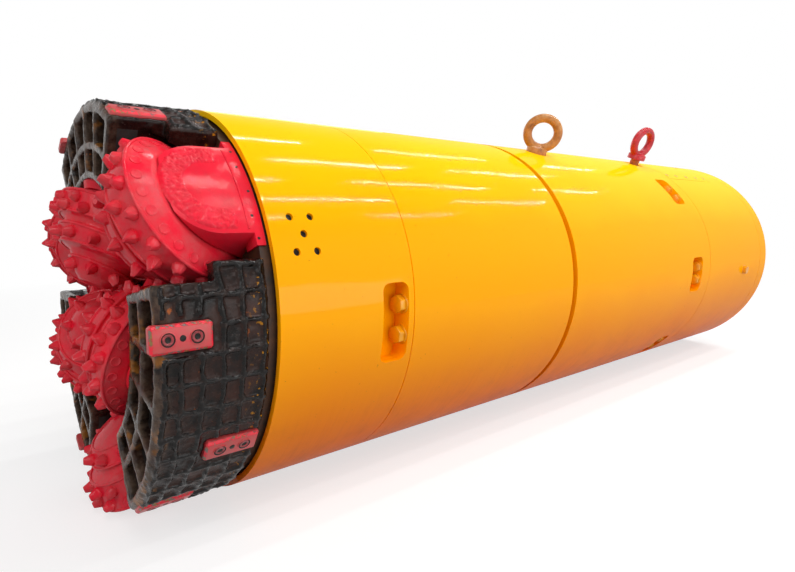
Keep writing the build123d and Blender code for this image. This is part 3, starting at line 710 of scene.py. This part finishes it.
def hard_facing(angle):
    """Rough U of weld metal round a leg's tip, laid on its outer face."""
    bend, straight, half, tip_z = 62.0, 30.0, 19.5, 67.0
    bm = bmesh.new()
    bmesh.ops.create_grid(bm, x_segments=200, y_segments=22, size=1.0)
    run = math.pi * bend + 2 * straight
    for v in bm.verts:
        s, t = (v.co.x + 1) / 2 * run, v.co.y
        radius = bend + t * half
        if s < straight:
            z, y = tip_z - (straight - s), -radius
        elif s > run - straight:
            z, y = tip_z - (s - run + straight), radius
        else:
            a = (s - straight) / bend - math.pi / 2
            z, y = tip_z + radius * math.cos(a), radius * math.sin(a)
        ends = min(1.0, min(s, run - s) / 12)
        edge = min(1.0, (1 - abs(t)) * 4) * ends
        lump = noise.noise(Vector((z, y, angle)) / 7.0) + 0.8 * noise.noise(Vector((z, y, angle)) / 3.2)
        r = LEG_R - 1.2 + edge * (3.2 + 2.4 * lump)
        a = angle + math.degrees(math.asin(y / LEG_R))
        v.co = (r * MM * math.cos(math.radians(a)), r * MM * math.sin(math.radians(a)), z * MM)
    bm.normal_update()
    return bm


class TUNNEL_OT_cone_legs(bpy.types.Operator):
    """Legs with rounded edges and hard-facing round their tips"""
    bl_idname = "tunnel.cone_legs"
    bl_label = "Cone legs"

    def execute(self, context):
        # Each pit is a low cap in the near-black finish: painted shade standing for a dimple.
        pit_shade = spun([(2.6, -1.0), (2.4, 0.3), (0, 0.35)], 12)
        for face in pit_shade.faces:
            face.material_index = 1
        seam_span = 25
        seam = bar(LEG_R - 0.8, COLLAR_SEAM_Z, 2.4, 12, int(seam_span * 0.9), seam_span)
        for i in range(3):
            bm = node_copy(f"gauge_leg_{i + 1}")
            soften(bm, 5.0, 40, 3)
            angle = GAUGE_PLACE[0] + 120 * i
            stamp(bm, seam, [STAND @ turn(angle - seam_span / 2)])
            stamp(bm, pit_shade, [STAND @ around(angle + a, LEG_R, z) for a, z in COLLAR_PITS])
            piece(f"leg_casting_{i + 1}", bm, "cutterhead", ["cutter_red", "dark_steel_and_shade"],
                  Matrix.Identity(4), replaces=[f"gauge_leg_{i + 1}"])
            piece(f"leg_hard_facing_{i + 1}", hard_facing(angle), "cutterhead",
                  ["cutter_red"], sharp=80)
        pit_shade.free()
        seam.free()
        return {"FINISHED"}


def hex_bolt(across, head, washer):
    """Hex head with a chamfered top on a washer; local Z along the bolt."""
    bm = bmesh.new()
    radius = across / math.sqrt(3) * MM
    bmesh.ops.create_cone(bm, cap_ends=True, segments=6, radius1=radius, radius2=radius, depth=head * MM,
                          matrix=Matrix.Translation((0, 0, (washer + head / 2) * MM)))
    soften(bm, 1.2, 40)
    crown = spun([(across * 0.47, washer + head - 0.2), (across * 0.42, washer + head + 0.7),
                  (0, washer + head + 0.9)], 24)
    ring = spun([(across * 0.62, 0), (across * 0.62, washer - 0.6), (across * 0.59, washer), (0, washer)], 28)
    stamp(bm, crown, [Matrix.Identity(4)])
    stamp(bm, ring, [Matrix.Identity(4)])
    crown.free()
    ring.free()
    return bm


class TUNNEL_OT_seam_bolts(bpy.types.Operator):
    """Painted bolts in the seam pockets"""
    bl_idname = "tunnel.seam_bolts"
    bl_label = "Seam bolts"

    def execute(self, context):
        bolt = hex_bolt(30, 13, 3)
        r = SHIELD_R / MM - 20
        first = -3  # the first pocket's angle
        for name, node, body, count, pitch in (
                ("front_pocket_bolts", "front_seam_bolts", "front_shield", 4, 58),
                ("rear_pocket_bolts", "rear_seam_bolts", "rear_shield", 8, 42)):
            z = (RIM_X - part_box(node)[1].x) / MM
            half = math.degrees(pitch / 2 / r)
            bm = bmesh.new()
            stamp(bm, bolt, [
                turn(first + 360 * i / count + side) @ Matrix.Translation((r * MM, 0, z * MM))
                for i in range(count) for side in (-half, half)])
            piece(name, bm, body, ["bolt_enamel"], replaces=[node])
        bolt.free()
        return {"FINISHED"}


def eye_bolt(shank):
    """Forged eye: a round bar bent to a ring, flared into its collar, on its shank; the ring lies in local XZ."""
    ring_r, bar_r, ring_z = 42, 12.5, 59
    bm = bar(ring_r, 0, bar_r, 20, 56)
    bmesh.ops.transform(bm, matrix=Matrix.Translation((0, 0, ring_z * MM)) @ Matrix.Rotation(math.pi / 2, 4, "X"),
                        verts=bm.verts)
    neck = spun([(0, -shank), (15, -shank), (15, 0), (28, 0), (29, 1), (29, 15), (27.5, 17.5), (23, 19), (18, 21),
                 (14, 25), (0, 26)], 36)
    stamp(bm, neck, [Matrix.Identity(4)])
    neck.free()
    bmesh.ops.remove_doubles(bm, verts=bm.verts, dist=1e-6)
    bmesh.ops.recalc_face_normals(bm, faces=bm.faces)
    return bm


class TUNNEL_OT_lifting_eyes(bpy.types.Operator):
    """Lifting eyes on the shield's shoulder"""
    bl_idname = "tunnel.lifting_eyes"
    bl_label = "Lifting eyes"

    def execute(self, context):
        for name, node, slot, z, lift, turned_by, shank in (
                ("front_eye", "eye_bolt_1", "eye_tan", -1001, 0, -52, 18),
                ("rear_eye", "eye_bolt_2", "eye_red", -1595, 20, -6, 38)):
            place = STAND @ around(EYE_ANGLE, SHIELD_R / MM - 2 + lift, z) @ turn(turned_by)
            bm = eye_bolt(shank)
            for face in bm.faces:
                face.material_index = 1 if lift and face.calc_center_median().z < 0 else 0
            piece(name, bm, "rear_shield", [slot, "seal_orange"], place, replaces=[node])
        return {"FINISHED"}


class TUNNEL_OT_skin_plugs(bpy.types.Operator):
    """Dark plugs in the skin's small holes and screws round the hatch"""
    bl_idname = "tunnel.skin_plugs"
    bl_label = "Skin plugs and hatch screws"

    def execute(self, context):
        r = SHIELD_R / MM
        # Four plugs about a fifth, behind the rim
        plug = spun([(6.3, 0.2), (6.3, 1.2), (5.6, 1.8), (3.4, 1.8), (2.6, 0.8), (0, 0.8)], 16)
        mid_a, mid_z = 22.2, -61
        spots = [(mid_a, mid_z)] + [(mid_a + a, mid_z + z) for z in (-19.5, 19.5) for a in (-4.5, 4.5)]
        bm = bmesh.new()
        stamp(bm, plug, [around(a, r - 6, z) for a, z in spots])
        piece("rim_plugs", bm, "front_shield", ["dark_steel_and_shade"])
        plug.free()
        # One bolt low on the tail can
        tail_z = (RIM_X - TAIL_X) / MM + 231
        bolt = hex_bolt(27, 9, 3)
        bm = bmesh.new()
        stamp(bm, bolt, [around(-4.5, r - 1, tail_z)])
        piece("tail_plug", bm, "rear_shield", ["bolt_enamel"])
        bolt.free()
        # Screws along the hatch's four edges
        low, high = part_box("tail_hatch")
        front, rear = (RIM_X - low.x) / MM, (RIM_X - high.x) / MM
        screw = spun([(7.5, -0.5), (7.5, 0.4), (6.6, 1.0), (3.8, 1.0), (3.2, 0.2), (0, 0.2)], 16)
        top, side, inset = 90, 34, 14
        spots = [(top + a, z) for a in (-side, -side / 2, 0, side / 2, side) for z in (front - inset, rear + inset)]
        spots += [(top + a, front + (rear - front) * share) for share in (0.25, 0.5, 0.75) for a in (-side, side)]
        bm = bmesh.new()
        stamp(bm, screw, [around(a, r, z) for a, z in spots])
        piece("hatch_screws", bm, "rear_shield", ["bolt_enamel"])
        screw.free()
        return {"FINISHED"}


class TUNNEL_OT_tail_fittings(bpy.types.Operator):
    """Bolts round the rear bulkhead and its round opening"""
    bl_idname = "tunnel.tail_fittings"
    bl_label = "Tail fittings"

    def execute(self, context):
        bolt = hex_bolt(19, 8, 2)
        bm = bmesh.new()
        rear_z = RIM_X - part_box("rear_bulkhead")[1].x
        back = Matrix.Translation((0, 0, rear_z)) @ Matrix.Rotation(math.pi, 4, "X")
        # Each ring of bolts: height of its middle over the axis, radius, number of bolts and stagger
        for middle, radius, count, stagger in ((0, 0.325, 16, 0.5), (0.125, 0.082, 8, 0)):
            stamp(bm, bolt, [
                Matrix.Translation((0, middle, 0)) @ turn(360 * (i + stagger) / count) @
                Matrix.Translation((radius, 0, 0)) @ back for i in range(count)])
        piece("bulkhead_bolts", bm, "rear_shield", ["pipe_steel"])
        bolt.free()
        return {"FINISHED"}


class TUNNEL_OT_paint(bpy.types.Operator):
    """Paints the bare solids by their slots"""
    bl_idname = "tunnel.paint"
    bl_label = "Paint"

    def execute(self, context):
        for subpart in frame["record"]["subparts"]:
            thing = frame["nodes"][subpart["node"]]
            thing.data.materials.clear()
            thing.data.materials.append(finish(subpart["material_slot"]))
        return {"FINISHED"}


def shows_backdrop(tree):
    """1 for the rays that show the backdrop: the camera's, mirrored and refracted ones."""
    path = add(tree, "ShaderNodeLightPath").node.outputs
    seen = add(tree, "ShaderNodeMath", {0: path["Is Camera Ray"], 1: path["Is Glossy Ray"]}, operation="MAXIMUM")
    return add(tree, "ShaderNodeMath", {0: seen, 1: path["Is Transmission Ray"]}, operation="MAXIMUM")


# Lamps: name, place, aim, size in m and power in W; the key lamp's power is a property.
FILLS = (
    ("front_fill", (-3.6, -1.2, 1.8), (-1.0, 0, 0.4), (1.4, 1.4), 24.0),
    ("side_fill", (0.4, -3.4, 0.55), (0.1, 0, 0.3), (3.0, 0.9), 30.0),
    ("rear_fill", (0.9, 3.4, 1.5), (0.0, 0, 0.4), (2.6, 1.4), 26.0),
)
# Tubes under a roof, whose long streaks the enamel mirrors: place in plan and length in m
TUBES = (
    (0.2, -2.3, 1.4), (2.3, -2.2, 1.2), (0.9, -1.5, 1.7), (3.2, -1.45, 1.5), (0.0, -0.8, 0.9), (1.9, -0.75, 1.6),
    (4.0, -0.7, 1.2), (1.0, 0.0, 1.2), (2.9, 0.05, 1.5), (0.3, 0.9, 1.0), (2.2, 0.9, 1.4), (4.3, 0.9, 1.2),
)
TUBE_Z = 3.1
TUBE_WIDTH = 0.022
FRONT_WATTS, REAR_WATTS, REAR_FROM_X = 11.0, 6.5, 1.5  # per metre of tube


class TUNNEL_OT_stage(bpy.types.Operator):
    """Pale floor, soft lamps and the camera"""
    bl_idname = "tunnel.stage"
    bl_label = "Stage"

    def execute(self, context):
        sizes = context.scene.tunnel_stage
        bm = bmesh.new()
        bmesh.ops.create_grid(bm, x_segments=2, y_segments=2, size=sizes.floor / 2)
        mesh = bpy.data.meshes.new("studio_floor")
        bm.to_mesh(mesh)
        bm.free()
        floor = bpy.data.objects.new("studio_floor", mesh)
        context.scene.collection.objects.link(floor)
        material = bpy.data.materials.new("pale_studio_floor")
        material.use_nodes = True
        tree = material.node_tree
        tree.nodes.clear()
        seen = shows_backdrop(tree)
        where = add(tree, "ShaderNodeTexCoord", out="Object")
        away = add(tree, "ShaderNodeVectorMath", {0: where}, out="Value", operation="LENGTH")
        matt = add(tree, "ShaderNodeBsdfDiffuse", {"Color": linear("A8A8A8")})
        level = add(tree, "ShaderNodeMath", {0: seen, 1: 0.66}, operation="MULTIPLY")
        near = add(tree, "ShaderNodeEmission", {"Color": (1, 1, 1, 1), "Strength": level})
        lit = add(tree, "ShaderNodeAddShader", {0: matt, 1: near})
        glow = add(tree, "ShaderNodeEmission", {"Color": (1, 1, 1, 1), "Strength": 1.0})
        far = add(tree, "ShaderNodeMapRange", {"Value": away, "From Min": 1.8, "From Max": 4.0})
        far = add(tree, "ShaderNodeMath", {0: far, 1: seen}, operation="MULTIPLY")
        both = add(tree, "ShaderNodeMixShader", {0: far, 1: lit, 2: glow})
        add(tree, "ShaderNodeOutputMaterial", {"Surface": both})
        mesh.materials.append(material)

        world = context.scene.world or bpy.data.worlds.new("studio_world")
        context.scene.world = world
        world.use_nodes = True
        tree = world.node_tree
        tree.nodes.clear()
        shown = shows_backdrop(tree)
        # White at the horizon, a dim roof overhead
        where = add(tree, "ShaderNodeTexCoord", out="Generated")
        up = add(tree, "ShaderNodeSeparateXYZ", {"Vector": where}, out="Z")
        roof = add(tree, "ShaderNodeMapRange", {
            "Value": up, "From Min": 0.42, "From Max": 0.7, "To Min": 1.0, "To Max": 0.3})
        level = add(tree, "ShaderNodeMapRange", {"Value": shown, "To Min": 0.5, "To Max": 1.0})
        level = add(tree, "ShaderNodeMath", {0: level, 1: roof}, operation="MULTIPLY")
        sky = add(tree, "ShaderNodeBackground", {"Color": (1, 1, 1, 1), "Strength": level})
        add(tree, "ShaderNodeOutputWorld", {"Surface": sky})

        lamps = [("key", (-1.4, -2.4, 3.6), (-0.3, 0, 0.4), (2.2, 2.2), sizes.lamp), *FILLS]
        for n, (x, y, length) in enumerate(TUBES):
            power = (FRONT_WATTS if x < REAR_FROM_X else REAR_WATTS) * length
            lamps.append((f"tube_{n}", (x, y, TUBE_Z), (x, y, 0), (length, TUBE_WIDTH), power))
        for name, at, aim, size, power in lamps:
            lamp = bpy.data.lights.new(name, "AREA")
            lamp.shape = "RECTANGLE"
            lamp.size, lamp.size_y = size
            lamp.energy = power
            thing = bpy.data.objects.new(name, lamp)
            look = (Vector(aim) - Vector(at)).normalized()
            side = Vector((1, 0, 0)) if abs(look.x) < 0.9 else Vector((0, 1, 0))
            up = (-look).cross(side).normalized()
            thing.matrix_world = frame_of(at, up.cross(-look), -look)
            context.scene.collection.objects.link(thing)

        # Fitted to the shield's rim, seams and tail as they appear
        camera = bpy.data.cameras.new("photo_camera")
        camera.sensor_width = 36.0
        camera.lens = 24.41
        camera.shift_x = 0.0561
        camera.shift_y = -0.0158
        eye = bpy.data.objects.new("photo_camera", camera)
        eye.location = (RIM_X - 0.4030, -1.0917, AXIS_Z + 0.1736)
        eye.rotation_euler = (math.pi / 2 - 0.1082, 0, -0.6505)
        context.scene.collection.objects.link(eye)
        context.scene.camera = eye
        context.scene.view_settings.view_transform = "Standard"
        return {"FINISHED"}


STEPS = (
    TUNNEL_OT_paint,
    TUNNEL_OT_roller_cones,
    TUNNEL_OT_cutter_arms,
    TUNNEL_OT_gauge_blocks,
    TUNNEL_OT_cone_legs,
    TUNNEL_OT_seam_bolts,
    TUNNEL_OT_lifting_eyes,
    TUNNEL_OT_skin_plugs,
    TUNNEL_OT_tail_fittings,
    TUNNEL_OT_stage,
)


class TUNNEL_PT_panel(bpy.types.Panel):
    bl_label = "Tunnel boring machine"
    bl_space_type = "VIEW_3D"
    bl_region_type = "UI"
    bl_category = "Tunnel"

    def draw(self, context):
        for group in ("tunnel_colours", "tunnel_cutters", "tunnel_stage"):
            values = getattr(context.scene, group)
            for name in values.__annotations__:
                self.layout.prop(values, name)
        for step in STEPS:
            self.layout.operator(step.bl_idname)


GROUPS = (("tunnel_colours", PaintColours), ("tunnel_cutters", CutterSizes), ("tunnel_stage", StageSizes))


def register():
    for name, group in GROUPS:
        bpy.utils.register_class(group)
        setattr(bpy.types.Scene, name, PointerProperty(type=group))
    for step in STEPS + (TUNNEL_PT_panel,):
        bpy.utils.register_class(step)


def unregister():
    for step in reversed(STEPS + (TUNNEL_PT_panel,)):
        bpy.utils.unregister_class(step)
    for name, group in reversed(GROUPS):
        delattr(bpy.types.Scene, name)
        bpy.utils.unregister_class(group)


def main():
    register()
    for step in STEPS:
        family, name = step.bl_idname.split(".")
        getattr(getattr(bpy.ops, family), name)()


if __name__ == "__main__":
    main()
